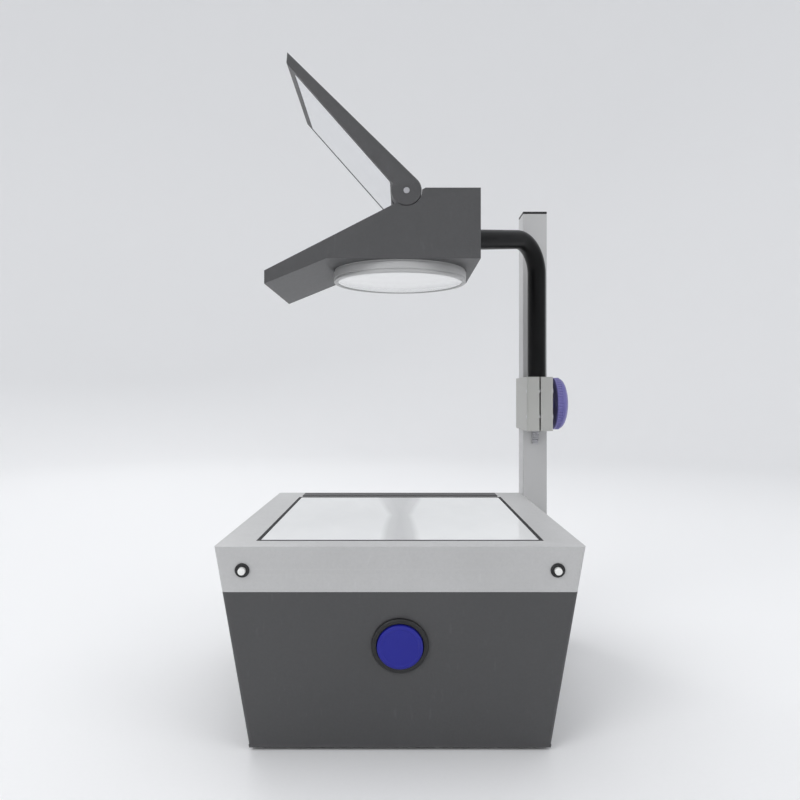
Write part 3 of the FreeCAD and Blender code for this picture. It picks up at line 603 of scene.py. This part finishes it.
def middle_of(node):
    """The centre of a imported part's box."""
    low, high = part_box(node)
    return np.array((low + high) / 2)


def foot_of(node):
    """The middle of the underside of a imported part's box."""
    return np.array((*middle_of(node)[:2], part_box(node)[0].z))


def dome_profile(radius, tall, edge_share, steps=28):
    """A flat-backed lens: a short straight edge, then a spherical cap. With edge height e and cap
    height c = tall - e, the sphere's radius is (radius^2 + c^2) / 2c."""
    edge = tall * edge_share
    cap = tall - edge
    sphere = (radius ** 2 + cap ** 2) / (2 * cap)
    reach = radius * np.cos(np.linspace(0, np.pi / 2, steps))
    height = edge + np.sqrt(sphere ** 2 - reach ** 2) - (sphere - cap)
    reach[-1] = 0
    return np.concatenate([[(0, 0), (radius, 0)], np.column_stack([reach, height])])


def domed_lens(name, node, edge_share, segments, downwards=False):
    """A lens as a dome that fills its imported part's box. The edge share is how much of its height
    the straight edge takes."""
    low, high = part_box(node)
    x, y, _ = middle_of(node)
    back, way = (high.z, (0, 0, -1)) if downwards else (low.z, (0, 0, 1))
    profile = dome_profile((high.x - low.x) / 2, high.z - low.z, edge_share)
    shaped(name, node, turned(profile, (x, y, back), way, segments), finish="lens")


# ---------------------------------------------------------------- pieces


class PieceOperator:
    """What every building step shares: it needs nothing selected and reads the scene's settings."""

    bl_options = {"REGISTER", "UNDO"}

    @property
    def sizes(self):
        return bpy.context.scene.projector_sizes


class PROJECTOR_OT_finishes(PieceOperator, Operator):
    """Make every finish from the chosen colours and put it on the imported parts."""

    bl_idname = "projector.finishes"
    bl_label = "Finishes"

    def execute(self, context):
        FINISHES.update(make_finishes(context.scene.projector_colours))
        for node, part in frame["nodes"].items():
            for place in part.material_slots:
                place.material = FINISHES[SLOT_OF[node]]
        return {"FINISHED"}


class PROJECTOR_OT_housing(PieceOperator, Operator):
    """Finish the tapered housing, its pan, vents, and the black foam strip below the rim, partly a real sealing
    strip and partly painted shade for the gap there.
    """

    bl_idname = "projector.housing"
    bl_label = "Housing"

    def execute(self, context):
        softened("base_shell", self.sizes.soft_edge, border=3.4 * MM)
        for node, width in (("base_pan", 0.5 * MM), ("left_vent_grille", 0.3 * MM),
                            ("rear_fan_guard", 0), ("fan_housing", 0.5 * MM),
                            ("base_hinge_leaves", 0.4 * MM), ("stage_hinge_pins", 0.2 * MM)):
            softened(node, width)
        self.feet()
        self.seal_and_shadow_gap()
        self.fan()
        return {"FINISHED"}

    def feet(self):
        """Turned rubber feet: a short cone with a rolled lower edge and a dimple in its middle."""
        low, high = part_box("rubber_feet")
        cone, flange = 12, 14.5  # millimetres
        profile = rounded_mm([(0, 0.8), (5, 0.8), (6, 0), (cone - 1.2, 0), (cone, 3), (cone, 6),
                              (flange, 6), (flange, 8), (0, 8)],
                             [0, 0.6, 0.3, 1, 0.3, 0, 0.3, 0.8, 0])
        reach = flange * MM
        spots = [(x, y, low.z) for x in (low.x + reach, high.x - reach)
                 for y in (low.y + reach, high.y - reach)]
        shaped("rubber_feet_turned", "rubber_feet",
               *(turned(profile, spot, segments=64) for spot in spots))

    def fan(self):
        """A turned hub and seven twisted blades, each a thin ellipse in section. A blade's angle to
        the fan's plane falls from its root to its tip, and a point a distance c across it sits
        c * cos(angle) round the circle and c * sin(angle) along the axis."""
        blades, columns, root_angle, tip_angle, root_chord = 7, 28, 46, 24, 0.78
        hub, tip, half, chord, thickness = 15 * MM, 36 * MM, 7.5 * MM, 11.5 * MM, 0.55 * MM
        axis, centre = (np.array(JOINT["fan_spin"][key]) for key in ("axis", "pos_m"))
        middle = centre + axis * ((middle_of("fan_rotor") - centre) @ axis)
        shell = rounded([(0, half), (hub, half), (hub, -half), (0, -half)],
                        [0, 1.5 * MM, 0.6 * MM, 0])
        grids = [turned(shell, middle, axis, 72)]
        share = np.linspace(0, 1, 12)[:, None]
        round_it = np.linspace(0, 2 * np.pi, columns, endpoint=False)[None, :]
        reach = hub - 1 * MM + share * (tip - hub + 1 * MM)
        pitch = np.radians(root_angle + (tip_angle - root_angle) * share)
        span = np.cos(round_it) * (root_chord + (1 - root_chord) * share) * chord
        thick = np.sin(round_it) * thickness
        lean = span * np.cos(pitch) - thick * np.sin(pitch)
        rise = span * np.sin(pitch) + thick * np.cos(pitch)
        for blade in range(blades):
            angle = blade * 2 * np.pi / blades + lean / reach
            local = np.stack([reach * np.cos(angle), reach * np.sin(angle), rise + 0 * angle], -1)
            grids.append(capped(local) @ facing(axis).T + middle)
        shaped("fan_bladed", "fan_rotor", *grids)

    def seal_and_shadow_gap(self):
        """A black foam strip between the housing and the rim, partly a real sealing strip and partly a dark strip
        painted in for the shadow gap there: a small square section carried round the top of the housing, a little
        inside its walls."""
        low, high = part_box("base_shell")
        floor, top = high.z - 1.2 * MM, RIM_LOW.z - 0.02 * MM
        inset, depth, corner = 0.9 * MM, 2.0 * MM, 3.4 * MM
        section = [(inset, floor), (inset, top), (inset + depth, top), (inset + depth, floor),
                   (inset, floor)]
        rows = []
        for gap, height in section:
            outline = rounded([(low.x + gap, low.y + gap), (high.x - gap, low.y + gap),
                               (high.x - gap, high.y - gap), (low.x + gap, high.y - gap)],
                              [corner] * 4, closed=True)[:-1]
            rows.append(np.column_stack([outline, np.full(len(outline), height)]))
        # Painted shade: the black strip also stands for the dark shadow gap between the housing and the rim.
        shaped("rim_seal_and_painted_shadow_gap", "base_shell", np.array(rows), finish="black_rubber", replaced=False)


class PROJECTOR_OT_services(PieceOperator, Operator):
    """Finish the lamp, the transformer and the other parts inside and at the back."""

    bl_idname = "projector.services"
    bl_label = "Services"

    def execute(self, context):
        for node in ("terminal_block", "power_inlet", "inlet_pins", "fuse_holder", "lamp_bracket",
                     "lamp_socket", "condenser_holder", "switch_body", "pan_screws"):
            softened(node, self.sizes.small_edge)
        softened("transformer_core", 0.6 * MM, finish="laminations")
        softened("transformer_coil", 2.5 * MM, 5)
        self.lamp()
        self.optics()
        return {"FINISHED"}

    def lamp(self):
        """A halogen capsule: a bulb turned about its axis, two pins, and a helix of wire inside."""
        low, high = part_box("lamp")
        x, _, z = middle_of("lamp")
        forward = (0, -1, 0)
        bulb = rounded_mm([(0, 8), (6.5, 8), (6.5, 43), (0, 43)], [0, 1, 6, 0], 10)
        pin = rounded_mm([(0, 0), (1, 0), (1, 9), (0, 9)], [0, 0.3, 0, 0])
        grids = [turned(bulb, (x, high.y, z), forward, 48)]
        for side in (-3.2 * MM, 3.2 * MM):
            grids.append(turned(pin, (x + side, high.y, z), forward, 16))
        shaped("lamp_capsule", "lamp", *grids)
        turns, radius, length = 9, 1.6 * MM, 9 * MM
        along = np.linspace(0, 1, 240)
        angle = along * turns * 2 * np.pi
        helix = np.column_stack([x + radius * np.cos(angle), low.y + 12 * MM + along * length,
                                 z + radius * np.sin(angle)])
        side = unit(np.cross(unit(np.gradient(helix, axis=0)), (0, 1.0, 0.2)))
        wire = swept(helix, side, 0.22 * MM, 8)
        shaped("lamp_filament", "lamp", wire, finish="bare_steel", replaced=False)

    def optics(self):
        """The reflector dish and the condenser, turned about one upright axis. The dish's radius
        grows as the sine of an angle, and its height as 1 less the cosine."""
        low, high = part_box("lamp_reflector")
        reach, tall = (high.x - low.x) / 2, high.z - low.z
        floor, wall = 4 * MM, 1.6 * MM
        angle = np.linspace(0, 1, 24)[:, None] * np.pi / 2
        outer = np.hstack([reach * np.sin(angle), floor + (tall - floor) * (1 - np.cos(angle))])
        inner = outer[::-1] * (0.95, 1) + (0, wall)
        inner[0, 1] = outer[-1, 1]
        stem = np.array([(0, 0), (8 * MM, 0), (8 * MM, 3 * MM)])
        dish = np.concatenate([stem, outer[5:], inner])
        dish[-1, 0] = 0
        shaped("reflector_dish", "lamp_reflector",
               turned(dish, foot_of("lamp_reflector"), segments=72))
        domed_lens("condenser_dome", "condenser_lens", 0.06, 96)


class PROJECTOR_OT_controls(PieceOperator, Operator):
    """Make the round push button, its bezel, and the two stage catches."""

    bl_idname = "projector.controls"
    bl_label = "Controls"

    def execute(self, context):
        centre, out = on_front(BUTTON_HEIGHT), -INWARD
        ring = self.bezel(20.85, 25.5, 22.2, 3, 13, [0, 0.8, 1.4, 0.2, 0, 0], 8)
        shaped("power_bezel", "power_button_bezel", turned(ring, centre, out, 128))
        face = rounded_mm([(0, 6.1), (16.2, 5.5), (17.4, 5.9), (20.5, 5.1), (20.5, -4), (5, -4),
                           (5, -16), (0, -16)], [0, 0.8, 0.8, 1.3, 0.4, 0, 0.5, 0], 8)
        shaped("power_key_cap", "power_button", turned(face, centre, out, 128))
        ring = self.bezel(3.6, 6.4, 4.5, 1.6, 7, [0, 0.5, 0.7, 0.1, 0, 0])
        key = rounded_mm([(0, 4.5), (3.3, 4.5), (3.3, -10), (0, -10)], [0, 0.9, 0.3, 0])
        rings = []
        for side, name in ((-CATCH_SIDE, "left"), (CATCH_SIDE, "right")):
            spot = on_front(CATCH_HEIGHT, side)
            rings.append(turned(ring, spot, out, 64))
            shaped("catch_key_" + name, "catch_button_" + name, turned(key, spot, out, 48))
        shaped("catch_rings", "catch_bezels", *rings)
        return {"FINISHED"}

    @staticmethod
    def bezel(bore, flange, neck, proud, depth, radii, steps=6):
        """A bezel's section, in millimetres: its bore, a flange that stands proud of the wall, and
        a neck that goes to a depth inside it."""
        corners = [(bore, -depth), (bore, proud), (flange, proud), (flange, 0), (neck, 0),
                   (neck, -depth)]
        return rounded_mm(corners, radii, steps, closed=True)


class PROJECTOR_OT_stage(PieceOperator, Operator):
    """Finish the lifting frame and its glass, and make the ringed flat lens."""

    bl_idname = "projector.stage"
    bl_label = "Stage frame and glass"

    def execute(self, context):
        softened("stage_frame", self.sizes.soft_edge)
        softened("glass_gasket", 0.15 * MM)
        softened("stage_glass", 0.4 * MM, finish="stage_plate_with_painted_shade")
        softened("hinge_cover", 0.5 * MM)
        softened("fresnel_clips", 0.3 * MM)
        softened("stage_hinge_leaves", 0.4 * MM)
        self.flat_lens()
        return {"FINISHED"}

    def flat_lens(self):
        """The ringed lens: a square plate whose top is a wave of its distance from the centre,
        height = top - depth * (1 - |sin(pi * distance / pitch)|), and whose underside is flat.
        Only its outer edges are sharp: the rings are shaded smoothly."""
        low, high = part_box("fresnel_lens")
        count, sharp_turn = 190, 50
        x = np.linspace(low.x, high.x, count)[None, :]
        y = np.linspace(low.y, high.y, count)[:, None]
        distance = np.sqrt(x ** 2 + y ** 2)
        wave = np.abs(np.sin(np.pi * distance / self.sizes.ring_pitch))
        top = high.z - self.sizes.ring_depth * (1 - wave)
        sheets = [np.stack([x + 0 * y, y + 0 * x, height + 0 * distance], axis=-1)
                  for height in (low.z, top)]
        vertices = np.concatenate([sheet.reshape(-1, 3) for sheet in sheets])
        index = np.arange(2 * count * count).reshape(2, count, count)
        faces = [np.stack([sheet[:-1, :-1], sheet[:-1, 1:], sheet[1:, 1:], sheet[1:, :-1]], axis=-1)
                 .reshape(-1, 4) for sheet in index]
        for edge in ((0, slice(None)), (-1, slice(None)), (slice(None), 0), (slice(None), -1)):
            under, over = index[0][edge], index[1][edge]
            faces.append(np.stack([under[:-1], under[1:], over[1:], over[:-1]], -1))
        mesh = solid_mesh("ringed_lens", vertices, np.concatenate(faces), sharp_turn)
        settle("ringed_lens", "fresnel_lens", mesh)


class PROJECTOR_OT_post(PieceOperator, Operator):
    """Finish the post with its rack, brackets, screws and cap."""

    bl_idname = "projector.post"
    bl_label = "Post and rack"

    def execute(self, context):
        for node, width in (("post", 1.2 * MM), ("post_cap", 0.8 * MM), ("focus_rack", 0.12 * MM),
                            ("post_brackets", 0.8 * MM), ("bracket_screws", 0.5 * MM)):
            softened(node, width)
        return {"FINISHED"}


class PROJECTOR_OT_carriage(PieceOperator, Operator):
    """Finish the carriage with its screws, pads and washer."""

    bl_idname = "projector.carriage"
    bl_label = "Carriage"

    def execute(self, context):
        softened("carriage_housing", 0.7 * MM)
        for node in ("clamp_screws", "glide_pads", "thrust_washer"):
            softened(node, 0.25 * MM)
        return {"FINISHED"}


class PROJECTOR_OT_knob(PieceOperator, Operator):
    """Make the domed focus knob with its ribbed grip, and finish its shaft and pinion."""

    bl_idname = "projector.knob"
    bl_label = "Focus knob"

    def execute(self, context):
        low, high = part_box("focus_knob")
        _, y, z = middle_of("focus_knob")
        radius, thick = (high.z - low.z) / 2, high.x - low.x
        recess, skirt, chamfer, ridges = 1.2 * MM, 8.2 * MM, 1.2 * MM, self.sizes.knob_ridges
        top_of_grip = skirt - 1.4 * MM
        arc = np.linspace(0, np.pi / 2, 26)[1:]
        dome = np.column_stack([(radius - chamfer) * np.cos(arc),
                                skirt + (thick - skirt) * np.sin(arc)])
        dome[-1, 0] = 0
        collar = [(0, 0), (8 * MM, 0), (8 * MM, recess), (radius - 6 * MM, recess),
                  (radius - 5 * MM, 0), (radius, 0), (radius, skirt - 0.6 * MM),
                  (radius - chamfer, skirt)]
        edge = rounded(collar, np.array([0, 0.2, 0.2, 0.4, 0.4, 1, 0.4, 0]) * MM, 5)
        lower = edge[:np.argmax(edge[:, 1] > recess)]
        straight = np.column_stack([np.full(8, radius), np.linspace(recess, top_of_grip, 8)])
        upper = edge[edge[:, 1] > top_of_grip]

        def grip(angle, reach, height):
            rise = np.clip((height - 1.4 * MM) / MM, 0, 1)
            fall = np.clip((skirt - 0.6 * MM - height) / MM, 0, 1)
            outside = reach > radius - 0.5 * MM
            return -0.8 * MM * (0.5 + 0.5 * np.cos(ridges * angle)) * rise * fall * outside

        profile = np.concatenate([lower, straight, upper, dome])
        shaped("focus_knob_domed", "focus_knob",
               turned(profile, (low.x, y, z), (1, 0, 0), ridges * 8, grip))
        softened("pinion_shaft", 0.4 * MM)
        softened("pinion", 0.12 * MM)
        return {"FINISHED"}


class PROJECTOR_OT_arm(PieceOperator, Operator):
    """Make the bent arm tube and finish its socket."""

    bl_idname = "projector.arm"
    bl_label = "Arm tube"

    slope: FloatProperty(name="Slope", description="Fall of the far run towards the head",
                         default=math.radians(9.39), subtype="ANGLE")
    bend: FloatProperty(name="Bend", description="Radius of the bend's middle line",
                        default=0.038, unit="LENGTH")
    reach: FloatProperty(name="Reach", description="Plan length from the upright to the far end",
                         default=0.151, unit="LENGTH")
    far_height: FloatProperty(name="Far height", description="Height of the tube's far end",
                              default=0.498, unit="LENGTH")

    def execute(self, context):
        low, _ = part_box("arm_tube")
        x, y, _ = JOINT["arm_swivel"]["pos_m"]
        apex = self.far_height + self.reach * math.tan(self.slope)
        tangent = self.bend * math.tan((math.pi / 2 + self.slope) / 2)
        start = apex - tangent
        angle = np.linspace(0, math.pi / 2 + self.slope, 40)[:, None]
        upright = np.linspace(low.z, start, 20, endpoint=False)[:, None]
        rise = np.hstack([np.zeros((20, 1)), upright])
        bend = np.hstack([self.bend * (1 - np.cos(angle)), start + self.bend * np.sin(angle)])
        share = np.linspace(0, 1, 14)[1:, None]
        run = bend[-1] + share * (np.array((self.reach, self.far_height)) - bend[-1])
        plan = np.concatenate([rise, bend, run])
        way = np.array((-1, -1, 0)) / math.sqrt(2)
        line = np.array((x, y, 0)) + plan[:, :1] * way + plan[:, 1:] * np.array((0, 0, 1))
        tube = swept(line, np.cross(way, (0, 0, 1)), 11.5 * MM, 64)
        shaped("arm_tube_bent", "arm_tube", tube)
        softened("arm_socket", 1.0 * MM)
        return {"FINISHED"}


class PROJECTOR_OT_head(PieceOperator, Operator):
    """Finish the head and make its barrel and lenses."""

    bl_idname = "projector.head"
    bl_label = "Head and lens"

    def execute(self, context):
        softened("head_housing", 0.5 * MM)
        softened("head_cover_front", 1.0 * MM)
        softened("head_cover_rear", 1.0 * MM)
        softened("window_glass", 0.2 * MM)
        softened("mirror_hinge_pin", 0.5 * MM)
        self.barrel()
        self.lenses()
        return {"FINISHED"}

    def barrel(self):
        """The barrel: a turned ring with a rolled lower lip, a groove above the lip and a step at
        its shoulder, from which a neck goes up into the head."""
        low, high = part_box("lens_barrel")
        outer, top = (high.x - low.x) / 2, high.z - low.z
        bore, ledge, shoulder, neck, eye = 69.4 * MM, 9 * MM, 13 * MM, 65.8 * MM, 62 * MM
        groove = outer - 0.7 * MM
        corners = [(bore, 0), (outer, 0), (outer, 2.6 * MM), (groove, 3.0 * MM),
                   (groove, 3.6 * MM), (outer, 4.0 * MM), (outer, shoulder - 2.2 * MM),
                   (groove, shoulder - 1.8 * MM), (groove, shoulder), (neck, shoulder),
                   (neck, top), (eye, top), (eye, ledge), (bore, ledge)]
        radii = [0.6 * MM, 1.2 * MM] + [0.15 * MM] * 6 + [0] * 6
        ring = rounded(corners, radii, 4, closed=True)
        shaped("lens_barrel_turned", "lens_barrel",
               turned(ring, foot_of("lens_barrel"), segments=192))

    def lenses(self):
        """The two lenses, and the thin ring that holds the lower one."""
        domed_lens("lower_lens_dome", "lower_lens", 0.568, 160, downwards=True)
        domed_lens("upper_lens_dome", "upper_lens", 0.35, 128)
        softened("lens_retainer", 0.3 * MM)


class PROJECTOR_OT_mirror(PieceOperator, Operator):
    """Finish the tilting flap and its mirror."""

    bl_idname = "projector.mirror"
    bl_label = "Mirror flap"

    def execute(self, context):
        softened("mirror_flap", 1.0 * MM)
        softened("mirror_glass", 0.3 * MM)
        return {"FINISHED"}


class PROJECTOR_OT_studio(PieceOperator, Operator):
    """Set up the paper sweep, the soft lights and the camera."""

    bl_idname = "projector.studio"
    bl_label = "Studio"

    def execute(self, context):
        studio = context.scene.projector_studio
        self.sweep(studio)
        self.lights(studio)
        self.camera(studio)
        return {"FINISHED"}

    def sweep(self, studio):
        """A round paper sweep: a flat floor that curves up into a wall all the way round."""
        reach, wall, bend = 4.2, 3.4, 1.5
        profile = rounded([(0, 0), (reach, 0), (reach, wall)], [0, bend, 0], 16)
        mesh = surface_mesh("paper_sweep", turned(profile, (0, 0, 0)))
        paint = Paint("paper")
        fibre = paint.noise(300, 3)
        base = paint.blend(fibre, scaled(studio.floor, 0.985), scaled(studio.floor, 1.015))
        mesh.materials.append(paint.finish(Base_Color=base, Roughness=0.85))
        floor = bpy.data.objects.new("paper_sweep", mesh)
        bpy.context.scene.collection.objects.link(floor)

    def lights(self, studio):
        """A broad key light from the upper left, a fill from the right, one above and one behind,
        all aimed at the middle of the object, and a pale sky."""
        aim = np.array((0.02, 0.0, 0.3))
        for name, place, size, share in LIGHTS:
            lamp = bpy.data.lights.new(name, "AREA")
            lamp.shape = "DISK"
            lamp.size = size
            lamp.energy = share * studio.key
            holder = bpy.data.objects.new(name, lamp)
            holder.location = place
            holder.visible_camera = False
            towards = Vector(aim - np.array(place))
            holder.rotation_euler = towards.to_track_quat("-Z", "Y").to_euler()
            bpy.context.scene.collection.objects.link(holder)
        world = bpy.data.worlds.new("studio")
        world.use_nodes = True
        sky = world.node_tree.nodes["Background"]
        sky.inputs["Color"].default_value = (0.92, 0.94, 0.97, 1)
        sky.inputs["Strength"].default_value = 0.72
        bpy.context.scene.world = world

    def camera(self, studio):
        """A level camera in front of the object, on its middle line."""
        data = bpy.data.cameras.new("camera")
        data.lens = studio.lens
        data.sensor_width = 36
        data.shift_y = studio.lift
        data.clip_start = 0.02
        camera = bpy.data.objects.new("camera", data)
        camera.location = (0, RIM_LOW.y - studio.distance, studio.eye_height)
        camera.rotation_euler = (math.pi / 2, 0, 0)
        bpy.context.scene.collection.objects.link(camera)
        bpy.context.scene.camera = camera
        bpy.context.scene.view_settings.view_transform = "Standard"


STEPS = (PROJECTOR_OT_finishes, PROJECTOR_OT_housing, PROJECTOR_OT_services, PROJECTOR_OT_controls,
         PROJECTOR_OT_stage, PROJECTOR_OT_post, PROJECTOR_OT_carriage, PROJECTOR_OT_knob,
         PROJECTOR_OT_arm, PROJECTOR_OT_head, PROJECTOR_OT_mirror, PROJECTOR_OT_studio)


class PROJECTOR_PT_panel(Panel):
    """The building steps and their settings in the sidebar."""

    bl_idname = "PROJECTOR_PT_panel"
    bl_label = "Overhead Projector"
    bl_space_type = "VIEW_3D"
    bl_region_type = "UI"
    bl_category = "Projector"

    def draw(self, context):
        for step in STEPS:
            self.layout.operator(step.bl_idname)
        for group in SETTINGS.values():
            settings = getattr(context.scene, group)
            for name in settings.bl_rna.properties.keys():
                if name not in ("rna_type", "name"):
                    self.layout.prop(settings, name)


SETTINGS = {ProjectorColours: "projector_colours", ProjectorSizes: "projector_sizes",
            ProjectorStudio: "projector_studio"}


def register():
    for kind, name in SETTINGS.items():
        bpy.utils.register_class(kind)
        setattr(bpy.types.Scene, name, PointerProperty(type=kind))
    for kind in (*STEPS, PROJECTOR_PT_panel):
        bpy.utils.register_class(kind)


def unregister():
    for kind in (PROJECTOR_PT_panel, *reversed(STEPS)):
        bpy.utils.unregister_class(kind)
    for kind, name in SETTINGS.items():
        delattr(bpy.types.Scene, name)
        bpy.utils.unregister_class(kind)


def main():
    register()
    for step in STEPS:
        group, name = step.bl_idname.split(".")
        getattr(getattr(bpy.ops, group), name)()


if __name__ == "__main__":
    main()
